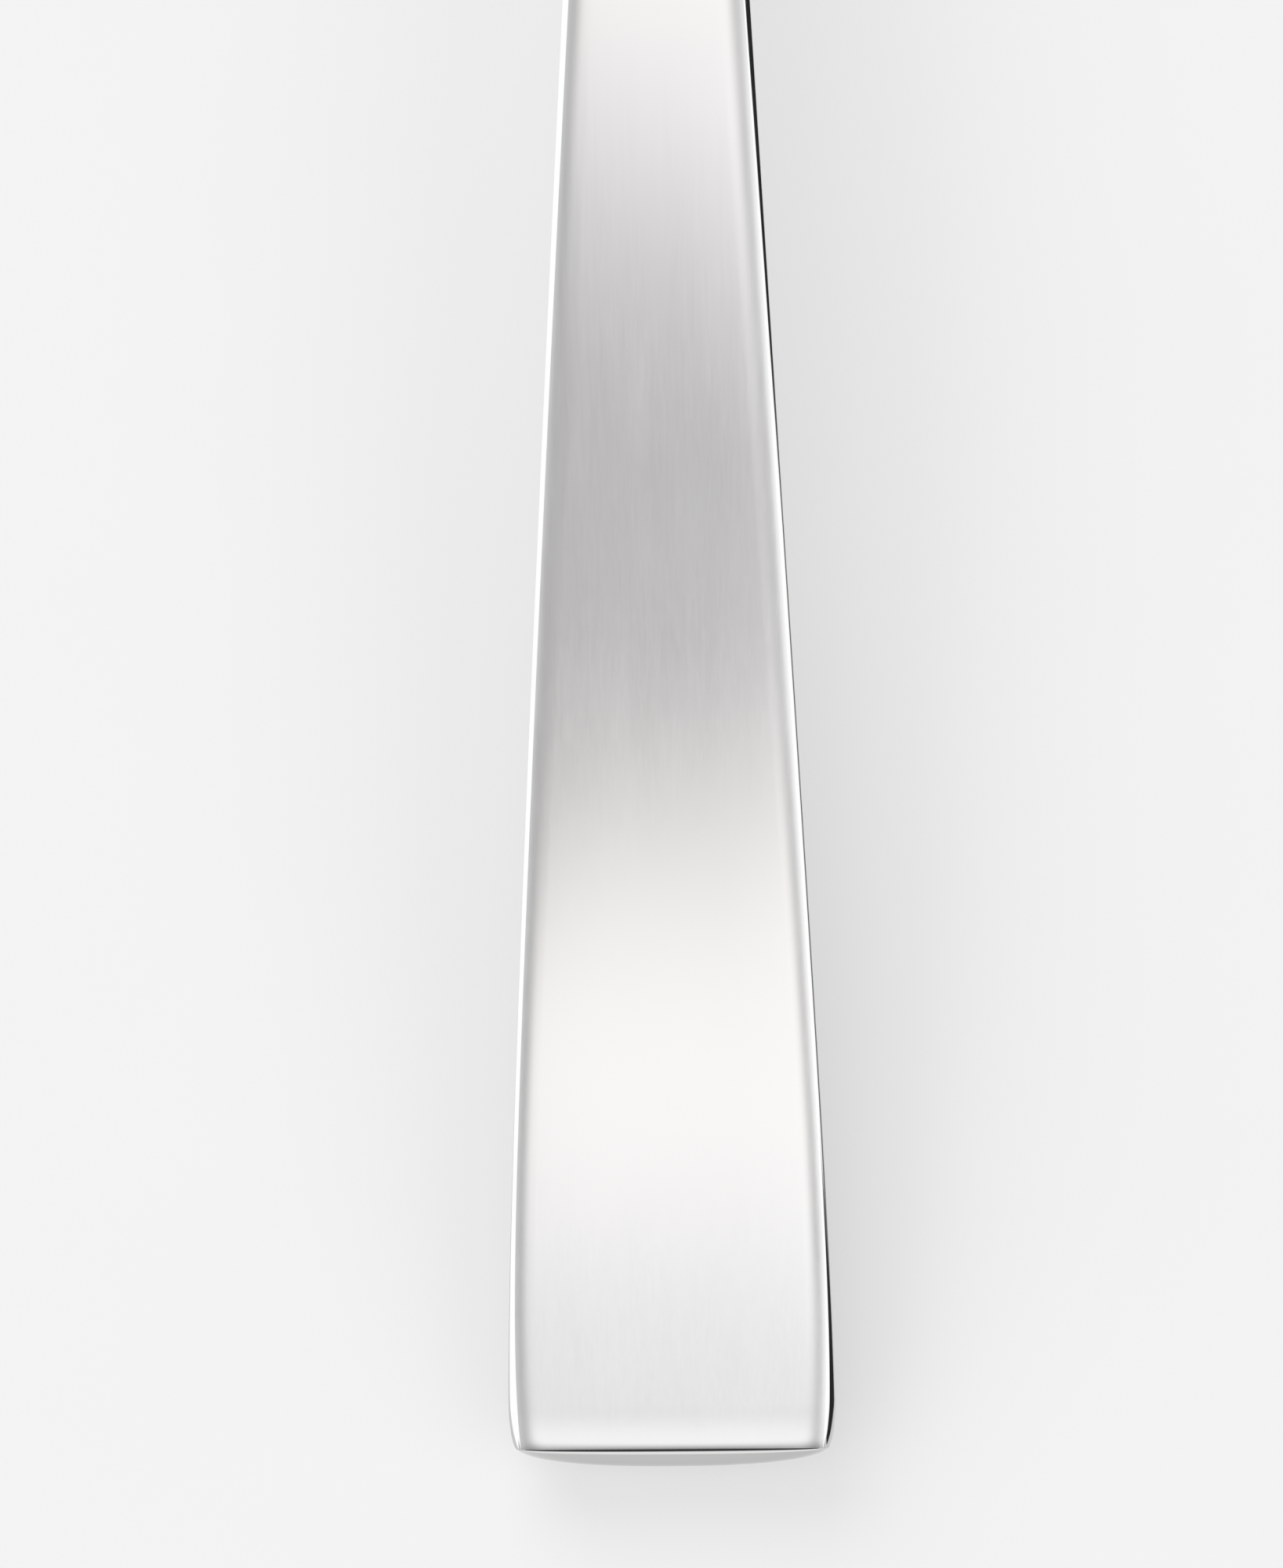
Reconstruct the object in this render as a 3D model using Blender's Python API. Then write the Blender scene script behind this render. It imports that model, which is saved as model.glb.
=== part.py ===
"""A hollow-handled cake server: a cranked blade whose tang is cemented into a two-shell handle.

Lengths are in metres. The server lies along Y with the blade's tip at +Y, and rests on the plane
z = 0 on its blade and on the heel of its handle. A station is a distance along Y from the straight
end edge of the handle's face. Every piece is modelled as its right half and then mirrored across X.
"""
import math

import bmesh
import bpy

# Handle in plan
HANDLE_LENGTH = 0.1310  # end edge of the face to the mouth of the shells
MOUTH_WIDTH = 0.0112  # across the body at the mouth
FLARE_WIDTH = 0.0259  # what the straight sides would reach at the end edge
END_DRAW_IN = 0.00075  # how far each side is drawn in there
END_DRAW_RUN = 0.0140  # how far along the handle that is felt
EDGE_STRIP = 0.0004  # polished edge outside the face's crease
END_EDGE_STRIP = 0.0005  # what that edge gains towards the end
END_EDGE_RUN = 0.0050
MOUTH_EDGE_STRIP = 0.00025  # what it gains towards the mouth
MOUTH_EDGE_RUN = 0.0400
CORNER_RUN = 0.0040  # length of the wall's rounding into the face's corner
CORNER_STRIP = 0.0001  # what is left of the polished edge at that corner
END_LIP = 0.0004  # polished edge outside the end edge, at its middle
END_BULGE = 0.00145  # how far the end wall stands out at its middle
END_FULLNESS = 2.4  # 2 is an ellipse across the end, more is squarer
SIDE_BULGE = 0.00006  # how far the lower shell stands out along its sides
SIDE_END_BULGE = 0.00012  # what that gains towards the end
SIDE_BULGE_RUN = 0.0120

# Handle in section
MOUTH_DEPTH = 0.0064  # face to keel at the mouth
END_DEPTH = 0.0084  # face to keel at the end
SEAM_DROP = 0.00085  # face down to the lower rim of the upper shell
PAN_LAND = 0.0003  # upright land below the rim of the lower shell
SWELL_DROP = 0.0021  # what that land gains at the end, where the wall swells out
SWELL_RUN = 0.0040
SWELL_TILT = math.radians(52)  # slope at which the swelling end wall leaves its rim
EDGE_TILT = math.radians(15)  # slope at which the polished edge leaves the face
EDGE_TURN = math.radians(46)  # slope at which it reaches its widest line
LIP_TILT = math.radians(34)  # the same two slopes at the end edge
LIP_TURN = math.radians(45)
ROLL_WIDTH = 0.0014  # margin along the sides where the face rolls off, at the end
MOUTH_ROLL_WIDTH = 0.0020  # and at the mouth
ROLL_SLOPE = 0.19  # fall to width at which the rolled margin meets the crease
END_ROLL_RUN = 0.0032  # margin along the end edge where the face rolls off
END_ROLL_DEPTH = 0.0003
NOSE_RUN = 0.0050  # length of the rounded nose below the end edge
NOSE_FULLNESS = 2.2  # 2 is an ellipse, more is squarer
BACK_FULLNESS = 2.3
SHEET = 0.0010  # wall of the lower shell
FACE_SHEET = 0.0012  # thickness of the upper shell

# Bow of the handle in side view
APEX_AT = 0.1050  # station of the top of the bow
BOW_RADIUS = 0.4400

# Neck and blade; a reach is how far an outline keeps its direction past a point
NECK_LENGTH = 0.0370
WAIST_RUN = 0.0180  # shoulder of the neck to its waist
WAIST_REACH = 0.0180
BLADE_LENGTH = 0.0980
BLADE_WIDTH = 0.0580
BLADE_THICKNESS = 0.0016
BLADE_EDGE = 0.0006
BEVEL_WIDTH = 0.0030  # ground margin of the blade
WIDEST_AT = 0.0250  # root of the blade to its widest place
SHOULDER_REACH = 0.0240
SIDE_REACH = 0.0150
TIP_REACH = 0.0120

# Tang, braze and cement inside the handle
TANG_LENGTH = 0.0500
TANG_TAPER = 0.0014  # width lost towards the tip of the tang
TANG_NOTCHES = 4  # scallops in each side that key it into the cement
NOTCH_DEPTH = 0.0006
TANG_SQUARENESS = 6.0
CEMENT_SIDE = 0.0012  # cement beside the tang at the mouth
CEMENT_COVER = 0.0004  # cement above and below it
CEMENT_TAIL = 0.0060  # cement behind its tip
BRAZE_LEG = 0.0009  # leg of the bead inside the seam
MOUTH_BRAZE = 0.0004  # length of the ring at the mouth

# Clearance between pieces that meet
SEAT_GAP = 0.0003

# Fineness of the meshes
HANDLE_STEPS = 26
STATION_CROWDING = 2.6
BACK_STEPS = 9
NECK_STEPS = 5
FLARE_STEPS = 12
SIDE_STEPS = 14
TANG_STEPS = 24
CEMENT_STEPS = 6
TIP_STOP = 0.985
WELD = 1e-7
SMOOTH_ANGLE = math.radians(28)

# Columns across a top surface: shares of its flat part, then of its rolled or ground margin
FLAT_COLUMNS = (0.0, 0.5, 1.0)
MARGIN_COLUMNS = (0.4, 0.7, 1.0)
EDGE_SHARES = (0.3, 0.65)
SWELL_SHARES = (1.0, 0.5, 0.0)

# Places that follow from the sizes above
MOUTH_JOINT = MOUTH_BRAZE + 2 * SEAT_GAP
SHOULDER = HANDLE_LENGTH + MOUTH_JOINT
WAIST = SHOULDER + WAIST_RUN
ROOT = SHOULDER + NECK_LENGTH
WIDEST = ROOT + WIDEST_AT
TIP = ROOT + BLADE_LENGTH
OVERALL_LENGTH = END_BULGE + TIP
SIDE_SLOPE = (MOUTH_WIDTH - FLARE_WIDTH) / 2 / HANDLE_LENGTH
BACK_RIM_DROP = SEAM_DROP + SEAT_GAP
INSIDE = SHEET + SEAT_GAP
UNDER_FACE = FACE_SHEET + SEAT_GAP
TANG_WIDTH = MOUTH_WIDTH - 2 * (INSIDE + CEMENT_SIDE + SEAT_GAP)
TANG_THICKNESS = MOUTH_DEPTH - UNDER_FACE - INSIDE - 2 * (CEMENT_COVER + SEAT_GAP)


def lerp(start, end, share):
    """Point at a share of the way from start to end."""
    return start + (end - start) * share


def ease(share):
    """Smooth step from 0 to 1, level at both ends."""
    share = min(max(share, 0.0), 1.0)
    return share * share * (3 - 2 * share)


def settle(start, slope, end, run, share):
    """Cubic from start, where it has a slope, to end, where it is level, over a run."""
    return lerp(start, end, ease(share)) + slope * run * share * (1 - share) ** 2


def bezier(points, share):
    """Point and tangent of a cubic curve in plan, as ((station, half), (station, half))."""
    back = 1 - share
    weights = (back ** 3, 3 * back ** 2 * share, 3 * back * share ** 2, share ** 3)
    slopes = (back ** 2, 2 * back * share, share ** 2)
    legs = [(b[0] - a[0], b[1] - a[1]) for a, b in zip(points, points[1:])]
    place = tuple(sum(w * p[axis] for w, p in zip(weights, points)) for axis in (0, 1))
    tangent = tuple(sum(w * leg[axis] for w, leg in zip(slopes, legs)) for axis in (0, 1))
    return place, tangent


def superellipse(angle, fullness):
    """Width and depth shares of a rounded section at an angle from its widest line."""
    power = 2 / fullness
    return max(math.cos(angle), 0.0) ** power, math.sin(angle) ** power


def stations(start):
    """Stations from start to the mouth, crowded towards the end of the handle."""
    run = HANDLE_LENGTH - start
    return [start + run * (step / HANDLE_STEPS) ** STATION_CROWDING for step in range(HANDLE_STEPS + 1)]


def back_profile():
    """Width and depth shares of the back's section, from the keel to its widest line."""
    angles = [math.pi / 2 * (1 - step / BACK_STEPS) for step in range(BACK_STEPS + 1)]
    return [superellipse(angle, BACK_FULLNESS) for angle in angles]


def body_half(station):
    """Half width of the handle's body: straight sides, drawn in a little towards the end."""
    straight = MOUTH_WIDTH / 2 + SIDE_SLOPE * (station - HANDLE_LENGTH)
    return straight - END_DRAW_IN * math.exp(-station / END_DRAW_RUN)


def edge_strip(station):
    """Width in plan from the face's crease to the body's side."""
    at_end = END_EDGE_STRIP * math.exp(-station / END_EDGE_RUN)
    from_mouth = max(HANDLE_LENGTH - station, 0.0)
    return EDGE_STRIP + at_end + MOUTH_EDGE_STRIP * math.exp(-from_mouth / MOUTH_EDGE_RUN)


def face_half(station):
    """Half width of the face between its creases."""
    return body_half(station) - edge_strip(station)


def wall_half(station):
    """Half width of the wall at its widest line, rounded in to the face's corner at the end."""
    lead = max(1 - station / CORNER_RUN, 0.0)
    round_in = edge_strip(0.0) - CORNER_STRIP
    return body_half(station) - round_in * (1 - math.sqrt(1 - lead * lead))


def end_round(share):
    """How far the end stands out at a share of its half width, as a share of that at its middle."""
    return math.sqrt(1 - min(share, 1.0) ** END_FULLNESS)


def back_half(station):
    """Half width of the lower shell where it stands out most, below the widest line of the seam."""
    return wall_half(station) + SIDE_BULGE + SIDE_END_BULGE * math.exp(-station / SIDE_BULGE_RUN)


def depth(station):
    """Depth of the handle from its face to its keel, without the rounding of the nose."""
    return lerp(END_DEPTH, MOUTH_DEPTH, station / HANDLE_LENGTH)


def back_top(station):
    """How far below the face the back's rounding starts, under its upright land."""
    return BACK_RIM_DROP + PAN_LAND + SWELL_DROP * math.exp(-station / SWELL_RUN)


def back_depth(station, inset):
    """Depth of the back's rounding, run out to nothing at the nose."""
    lead = min(max(1 - (station - inset) / (NOSE_RUN - inset), 0.0), 1.0)
    nose = (1 - lead ** NOSE_FULLNESS) ** (1 / NOSE_FULLNESS)
    return (depth(station) - back_top(station) - inset) * nose


def bow_drop(station):
    """How far the face's line lies below the top of its bow."""
    return (station - APEX_AT) ** 2 / (2 * BOW_RADIUS)


# The bow is as high as it must be for the heel of the handle to touch the table.
APEX_HEIGHT = max(bow_drop(s) + back_top(s) + back_depth(s, 0.0) for s in stations(0.0))


def face_height(station):
    """Height of the middle of the face above the table."""
    return APEX_HEIGHT - bow_drop(station)


def roll_width(station):
    """Width of the margin over which the face rolls off to its crease."""
    return lerp(ROLL_WIDTH, MOUTH_ROLL_WIDTH, min(station / HANDLE_LENGTH, 1.0))


def face_drop(inward, station):
    """How far the face rolls off, at a distance inward from its crease and from its end edge."""
    margin = roll_width(station)
    side = ROLL_SLOPE * margin / 2 * max(1 - inward / margin, 0.0) ** 2
    return side + END_ROLL_DEPTH * max(1 - station / END_ROLL_RUN, 0.0) ** 2


def edge_fall(share, tilt=EDGE_TILT, turn=EDGE_TURN):
    """How far the polished edge has fallen at a share of its width, as a share of that width."""
    gain = math.tan(turn) - math.tan(tilt)
    return math.tan(turn) * share - gain * (1 - (1 - share) ** 3) / 3


def columns(half, margin):
    """Places across a top surface from its middle to its edge, with a margin of its own."""
    flat = [share * (half - margin) for share in FLAT_COLUMNS]
    return flat + [half - margin + share * margin for share in MARGIN_COLUMNS]


def face_rows():
    """Rows of the handle's face, from the end edge to the mouth, each from middle to crease."""
    rows = []
    for station in stations(0.0):
        half = face_half(station)
        top = face_height(station)
        places = columns(half, roll_width(station))
        rows.append([(x, station, top - face_drop(half - x, station)) for x in places])
    return rows


def wall_point(station, inset, share, drop, stand):
    """Point inside the wall by an inset, at a share of the half width and a drop below the face.

    Stand is how far the end wall stands out past the end edge there, at its middle.
    """
    fade = max(1 - (station - inset) / NOSE_RUN, 0.0) ** 2
    half = lerp(wall_half(station), back_half(station), (stand - END_LIP) / (END_BULGE - END_LIP))
    out = fade * stand * end_round(share)
    return share * (half - inset), station - out, face_height(station) - drop


def back_rows(inset):
    """Rows of the rounded back at an inset, from the end to the mouth, each from keel to side."""
    rows = []
    for station in stations(inset):
        deep = back_depth(station, inset)
        row = []
        for width, fall in back_profile():
            drop = back_top(station) + deep * fall
            row.append(wall_point(station, inset, width, drop, END_BULGE))
        rows.append(row)
    return rows


def flat_rows(inset, drop, shares):
    """Rows of a level surface inside the wall, from the end to the mouth, each from middle to side."""
    rows = []
    for station in stations(inset):
        rows.append([wall_point(station, inset, share, drop, END_LIP) for share in shares])
    return rows


def rim(rows):
    """Outer border of a set of rows: along the side from the mouth, then along the end to the middle."""
    side = [row[-1] for row in reversed(rows)]
    return side + rows[0][-2::-1]


def edge_ring(end_places, share):
    """Ring on the polished edge, a share of the way out from the face's crease."""
    ring = []
    for station in reversed(stations(0.0)):
        strip = wall_half(station) - face_half(station)
        level = face_drop(0.0, station) + strip * edge_fall(share)
        ring.append((face_half(station) + share * strip, station, face_height(station) - level))
    half = face_half(0.0)
    for x in end_places:
        lip = END_LIP * end_round(x / half)
        level = face_drop(half - x, 0.0) + lip * edge_fall(share, LIP_TILT, LIP_TURN)
        ring.append((x, -share * lip, face_height(0.0) - level))
    return ring


def level_ring(inset, drop):
    """Ring inside the handle's wall, at an inset from the wall and a drop below the face."""
    return rim(flat_rows(inset, drop, [width for width, _ in back_profile()]))


def swell_ring(inset, share):
    """Ring on the lower shell's upright wall at an inset, a share of the way down from its rim."""
    angle = lerp(SWELL_TILT, math.pi / 2, share)
    out = (math.sin(angle) - math.sin(SWELL_TILT)) / (1 - math.sin(SWELL_TILT))
    fall = 1 - math.cos(angle) / math.cos(SWELL_TILT)
    rows = []
    for station in stations(inset):
        drop = lerp(BACK_RIM_DROP, back_top(station), fall)
        stand = lerp(END_LIP, END_BULGE, out)
        rows.append([wall_point(station, inset, width, drop, stand) for width, _ in back_profile()])
    return rim(rows)


def mesh_object(name, material, skins, caps):
    """Build one piece from the skins and caps of its right half, mirrored across X and closed."""
    shape = bmesh.new()
    offset = END_BULGE - OVERALL_LENGTH / 2

    def vertex(point):
        return shape.verts.new((point[0], point[1] + offset, point[2]))

    for rows in skins:
        grid = [[vertex(point) for point in row] for row in rows]
        for near, far in zip(grid, grid[1:]):
            for a, b, c, d in zip(near, near[1:], far[1:], far):
                shape.faces.new((a, b, c, d))
    for cap in caps:
        shape.faces.new([vertex(point) for point in cap])
    bmesh.ops.remove_doubles(shape, verts=shape.verts, dist=WELD)
    bmesh.ops.dissolve_degenerate(shape, edges=shape.edges, dist=WELD)
    half = shape.verts[:] + shape.edges[:] + shape.faces[:]
    bmesh.ops.mirror(shape, geom=half, axis="X", merge_dist=WELD)
    bmesh.ops.recalc_face_normals(shape, faces=shape.faces)
    mesh = bpy.data.meshes.new(name)
    shape.to_mesh(mesh)
    shape.free()
    mesh.shade_smooth()
    mesh.set_sharp_from_angle(angle=SMOOTH_ANGLE)
    mesh.materials.append(material)
    piece = bpy.data.objects.new(name, mesh)
    bpy.context.collection.objects.link(piece)
    return piece


def finish(name, colour, roughness, metallic):
    """A plain material for one kind of piece."""
    material = bpy.data.materials.new(name)
    material.use_nodes = True
    shader = material.node_tree.nodes["Principled BSDF"]
    shader.inputs["Base Color"].default_value = (*colour, 1.0)
    shader.inputs["Roughness"].default_value = roughness
    shader.inputs["Metallic"].default_value = metallic
    return material


def handle_face(material):
    """Upper shell: the rolled face, its polished edge, and an underside that drops into the back."""
    top = face_rows()
    end_places = [point[0] for point in top[0][-2::-1]]
    shares = [point[0] / top[0][-1][0] for point in top[0]]
    edge = [rim(top)] + [edge_ring(end_places, share) for share in (*EDGE_SHARES, 1.0)]
    edge.append(rim(flat_rows(0.0, SEAM_DROP, shares)))
    under = flat_rows(INSIDE, FACE_SHEET, shares)
    step = [edge[-1], rim(flat_rows(INSIDE, SEAM_DROP, shares)), rim(under)]
    mouth = top[-1] + [ring[0] for ring in edge[1:]] + [step[1][0]] + under[-1][::-1]
    return mesh_object("handle_face", material, [top, edge, step, under], [mouth])


def handle_back(material):
    """Lower shell: a deep pan of sheet with a crowned back and a rounded nose."""
    outer = back_rows(0.0)
    inner = back_rows(SHEET)
    outer_wall = [swell_ring(0.0, share) for share in SWELL_SHARES]
    inner_wall = [swell_ring(SHEET, share) for share in SWELL_SHARES]
    wall = outer_wall + inner_wall[::-1]
    mouth = [outer[-1] + [ring[0] for ring in outer_wall[1:]]]
    mouth.append(inner[-1] + [ring[0] for ring in inner_wall[1:]])
    return mesh_object("handle_back", material, [outer, inner, wall, mouth], [])


def seam_braze(material):
    """Bead of braze in the inner corner of the seam, along both sides and round the end."""
    corner = level_ring(INSIDE, UNDER_FACE)
    along = level_ring(INSIDE + BRAZE_LEG, UNDER_FACE)
    below = level_ring(INSIDE + SEAT_GAP, UNDER_FACE + BRAZE_LEG)
    mouth = [corner[0], along[0], below[0]]
    return mesh_object("seam_braze", material, [[corner, along, below, corner]], [mouth])


def half_section(station, half, top, thick):
    """Half loop of the handle's section from the top middle round its side to the keel."""
    strip = edge_strip(station)
    crease = half - strip
    squash = thick / depth(station)
    rolled = face_drop(0.0, station)
    places = columns(crease, roll_width(station))
    loop = [(x, station, top - face_drop(crease - x, station)) for x in places]
    for share in EDGE_SHARES:
        drop = rolled + strip * edge_fall(share)
        loop.append((crease + share * strip, station, top - drop * squash))
    widest = (rolled + strip * edge_fall(1.0)) * squash
    for width, fall in reversed(back_profile()):
        loop.append((half * width, station, top - lerp(widest, thick, fall)))
    return loop


def plate_section(station, half, lean):
    """Half loop of the blade's flat section; lean is how square its edge stands to the section."""
    margin = min(BEVEL_WIDTH / max(lean, WELD), half)
    rise = (BLADE_THICKNESS - BLADE_EDGE) * min(half * lean / BEVEL_WIDTH, 1.0)
    loop = []
    for x in columns(half, margin):
        loop.append((x, station, BLADE_EDGE + rise * min((half - x) / margin, 1.0)))
    loop += [(half, station, BLADE_EDGE * (1 - share)) for share in EDGE_SHARES]
    return loop + [(half * width, station, 0.0) for width, _ in reversed(back_profile())]


def blend(first, second, share):
    """Loop part of the way from one half loop to another."""
    return [tuple(lerp(a, b, share) for a, b in zip(p, q)) for p, q in zip(first, second)]


def neck_outline():
    """Station, half width and edge lean along the neck and blade, from the shoulder to the tip."""
    places = []
    for step in range(NECK_STEPS):
        station = lerp(SHOULDER, WAIST, step / NECK_STEPS)
        places.append((station, body_half(station), 1.0))
    waist = body_half(WAIST)
    side = BLADE_WIDTH / 2
    flare = (WAIST, waist), (WAIST + WAIST_REACH, waist + SIDE_SLOPE * WAIST_REACH)
    flare += (WIDEST - SHOULDER_REACH, side), (WIDEST, side)
    edge = (WIDEST, side), (WIDEST + SIDE_REACH, side), (TIP, TIP_REACH), (TIP, 0.0)
    for curve, steps, stop in (flare, FLARE_STEPS, 1.0), (edge, SIDE_STEPS, TIP_STOP):
        first = 0 if curve is flare else 1
        for step in range(first, steps + 1):
            place, tangent = bezier(curve, stop * step / steps)
            places.append((*place, tangent[0] / math.hypot(*tangent)))
    return places


def blade_loops():
    """Half loops of the neck and blade from the shoulder to the tip."""
    start = face_height(SHOULDER)
    slope = (APEX_AT - SHOULDER) / BOW_RADIUS
    loops = []
    for station, half, lean in neck_outline():
        share = min((station - SHOULDER) / NECK_LENGTH, 1.0)
        flat = ease(share)
        thick = lerp(depth(SHOULDER), BLADE_THICKNESS, flat)
        top = settle(start, slope, BLADE_THICKNESS, NECK_LENGTH, share)
        plate = plate_section(station, half, lean)
        raised = [(x, y, z + top - BLADE_THICKNESS) for x, y, z in plate]
        loops.append(blend(half_section(station, half, top, thick), raised, flat))
    return loops


def tang_middle(station):
    """Height of the middle of the hollow in the handle, where the tang runs."""
    return face_height(station) - (FACE_SHEET + depth(station) - SHEET) / 2


def tang_loop(count, share, clearance):
    """Half loop of the scalloped tang, a share of the way from its tip to the shoulder."""
    station = SHOULDER - TANG_LENGTH * (1 - share)
    narrow = TANG_TAPER * (1 - share)
    notch = NOTCH_DEPTH * math.sin(math.pi * TANG_NOTCHES * share) ** 2
    wide = (TANG_WIDTH - narrow) / 2 - notch + clearance
    high = TANG_THICKNESS / 2 + clearance
    loop = []
    for step in range(count):
        angle = math.pi * (0.5 - step / (count - 1))
        across, up = superellipse(abs(angle), TANG_SQUARENESS)
        loop.append((wide * across, station, tang_middle(station) + math.copysign(high * up, angle)))
    return loop


def server_blade(material):
    """Blade, cranked neck, shoulder and tang in one blank."""
    body = blade_loops()
    tang = [tang_loop(len(body[0]), step / TANG_STEPS, 0.0) for step in range(TANG_STEPS + 1)]
    return mesh_object("server_blade", material, [tang + body], [tang[0], body[-1]])


def mouth_braze(material):
    """Ring of braze between the front rims of the shells and the shoulder of the neck."""
    start = HANDLE_LENGTH + SEAT_GAP
    loops = []
    for station in start, start + MOUTH_BRAZE:
        outer = half_section(station, body_half(station), face_height(station), depth(station))
        middle = (outer[0][2] + outer[-1][2]) / 2
        inner = []
        for x, y, z in outer:
            shrink = 1 - SHEET / math.hypot(x, z - middle)
            inner.append((x * shrink, y, middle + (z - middle) * shrink))
        loops.append((outer, inner))
    (outer, inner), (far_outer, far_inner) = loops
    return mesh_object("mouth_braze", material, [[outer, inner, far_inner, far_outer, outer]], [])


def cement_loop(station):
    """Half loop of the cement: the hollow's section, cut back at its upper corner for the braze."""
    half = back_half(station) - INSIDE
    deep = back_depth(station, INSIDE)
    relief = BRAZE_LEG + 2 * SEAT_GAP
    start = math.asin(((UNDER_FACE + relief - back_top(station)) / deep) ** (BACK_FULLNESS / 2))
    level = face_height(station)
    loop = [(x, station, level - UNDER_FACE) for x in columns(half - relief, relief)]
    for step in range(BACK_STEPS + 1):
        width, fall = superellipse(lerp(start, math.pi / 2, step / BACK_STEPS), BACK_FULLNESS)
        loop.append((half * width, station, level - back_top(station) - deep * fall))
    return loop


def tang_cement(material):
    """Cured cement that fills the front of the handle, with the pocket that the tang sits in."""
    front = HANDLE_LENGTH - SEAT_GAP
    back = SHOULDER - TANG_LENGTH - CEMENT_TAIL
    outer = [cement_loop(lerp(back, front, step / CEMENT_STEPS)) for step in range(CEMENT_STEPS + 1)]
    count = len(outer[0])
    bottom = -SEAT_GAP / TANG_LENGTH
    opening = 1 - (SHOULDER - front) / TANG_LENGTH
    shares = [lerp(opening, bottom, step / TANG_STEPS) for step in range(TANG_STEPS + 1)]
    pocket = [tang_loop(count, share, SEAT_GAP) for share in shares]
    return mesh_object("tang_cement", material, [outer + pocket], [outer[0], pocket[-1]])


def main():
    """Clear the scene and build every piece of the server."""
    for old in list(bpy.data.objects):
        bpy.data.objects.remove(old)
    satin = finish("satin_steel", (0.74, 0.74, 0.74), 0.20, 1.0)
    polished = finish("polished_steel", (0.62, 0.62, 0.61), 0.07, 1.0)
    braze = finish("braze_alloy", (0.72, 0.66, 0.52), 0.35, 1.0)
    cement = finish("cured_cement", (0.46, 0.43, 0.38), 0.90, 0.0)
    server_blade(polished)
    handle_face(satin)
    handle_back(polished)
    seam_braze(braze)
    mouth_braze(braze)
    tang_cement(cement)


if __name__ == "__main__":
    main()
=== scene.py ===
"""Looks of a hollow-handled cake server on a pale studio floor.

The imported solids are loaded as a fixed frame. Fine skins of the same form stand for the two shells
of the handle, the braze at its mouth and the blade. What is sealed inside the handle keeps its
solids and gets a finish. Lengths are in metres. The server lies along Y with the blade's tip at +Y,
and a station is a distance along Y from the straight end edge of the handle's face.
"""
from __future__ import annotations

import logging
import math
from collections.abc import Sequence
from dataclasses import dataclass
from enum import Enum
from functools import cached_property
from typing import Any, ClassVar

import bmesh
import bpy
from bpy.types import ID, Material, Node, NodeSocket, NodeTree, Object
from mathutils import Matrix, Vector


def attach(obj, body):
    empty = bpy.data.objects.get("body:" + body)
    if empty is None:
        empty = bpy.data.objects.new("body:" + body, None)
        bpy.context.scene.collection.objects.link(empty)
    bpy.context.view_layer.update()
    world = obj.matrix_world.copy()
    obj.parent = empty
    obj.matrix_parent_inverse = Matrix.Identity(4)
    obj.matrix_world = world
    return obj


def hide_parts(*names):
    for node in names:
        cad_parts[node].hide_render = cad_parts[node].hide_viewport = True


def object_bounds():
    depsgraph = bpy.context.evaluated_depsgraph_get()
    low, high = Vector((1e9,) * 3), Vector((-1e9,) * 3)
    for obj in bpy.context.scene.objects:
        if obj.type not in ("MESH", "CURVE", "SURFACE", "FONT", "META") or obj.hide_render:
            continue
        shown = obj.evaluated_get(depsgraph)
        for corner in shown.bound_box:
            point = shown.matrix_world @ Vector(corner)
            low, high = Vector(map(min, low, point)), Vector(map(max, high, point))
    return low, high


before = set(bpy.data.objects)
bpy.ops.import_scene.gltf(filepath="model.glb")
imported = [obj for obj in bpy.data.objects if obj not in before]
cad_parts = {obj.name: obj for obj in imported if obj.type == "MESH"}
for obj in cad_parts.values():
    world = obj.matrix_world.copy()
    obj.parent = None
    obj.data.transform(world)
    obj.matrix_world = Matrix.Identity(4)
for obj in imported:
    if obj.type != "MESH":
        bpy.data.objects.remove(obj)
CAD_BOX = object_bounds()

LOG = logging.getLogger("cake_server")

Point = tuple[float, float, float]
Row = list[Point]
Colour = tuple[float, float, float]
Band = tuple[float, float]

NOISE_MIDDLE = 0.5


class Slot(Enum):
    """Names of the material slots of the solids, which nothing in the script uses."""

    SATIN = "satin_steel"
    POLISHED = "polished_steel"
    BRAZE = "braze_alloy"


class Zone(Enum):
    """Surfaces of a piece; two that meet are parted by a crisp edge."""

    FACE = 1
    EDGE = 2
    LAND = 3
    UNDER = 4
    INNER = 5
    MOUTH = 6


def lerp(start: float, end: float, share: float) -> float:
    """Return the value at a share of the way from start to end."""
    return start + (end - start) * share


def ease(share: float) -> float:
    """Return a smooth step from 0 to 1 that is level at both ends."""
    share = min(max(share, 0.0), 1.0)
    return share * share * (3 - 2 * share)


def parts(count: int, power: float = 1.0) -> list[float]:
    """Return shares from 0 to 1 in a count of steps, crowded to the start by a power over 1."""
    return [(step / count) ** power for step in range(count + 1)]


def superellipse(angle: float, fullness: float) -> tuple[float, float]:
    """Return the width and depth shares of a rounded section at an angle from its widest line."""
    power = 2 / fullness
    return max(math.cos(angle), 0.0) ** power, max(math.sin(angle), 0.0) ** power


def rim(rows: Sequence[Row]) -> Row:
    """Return the outer border of rows: the side from the mouth, then the end to the middle."""
    return [row[-1] for row in reversed(rows)] + list(rows[0][-2::-1])


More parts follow.
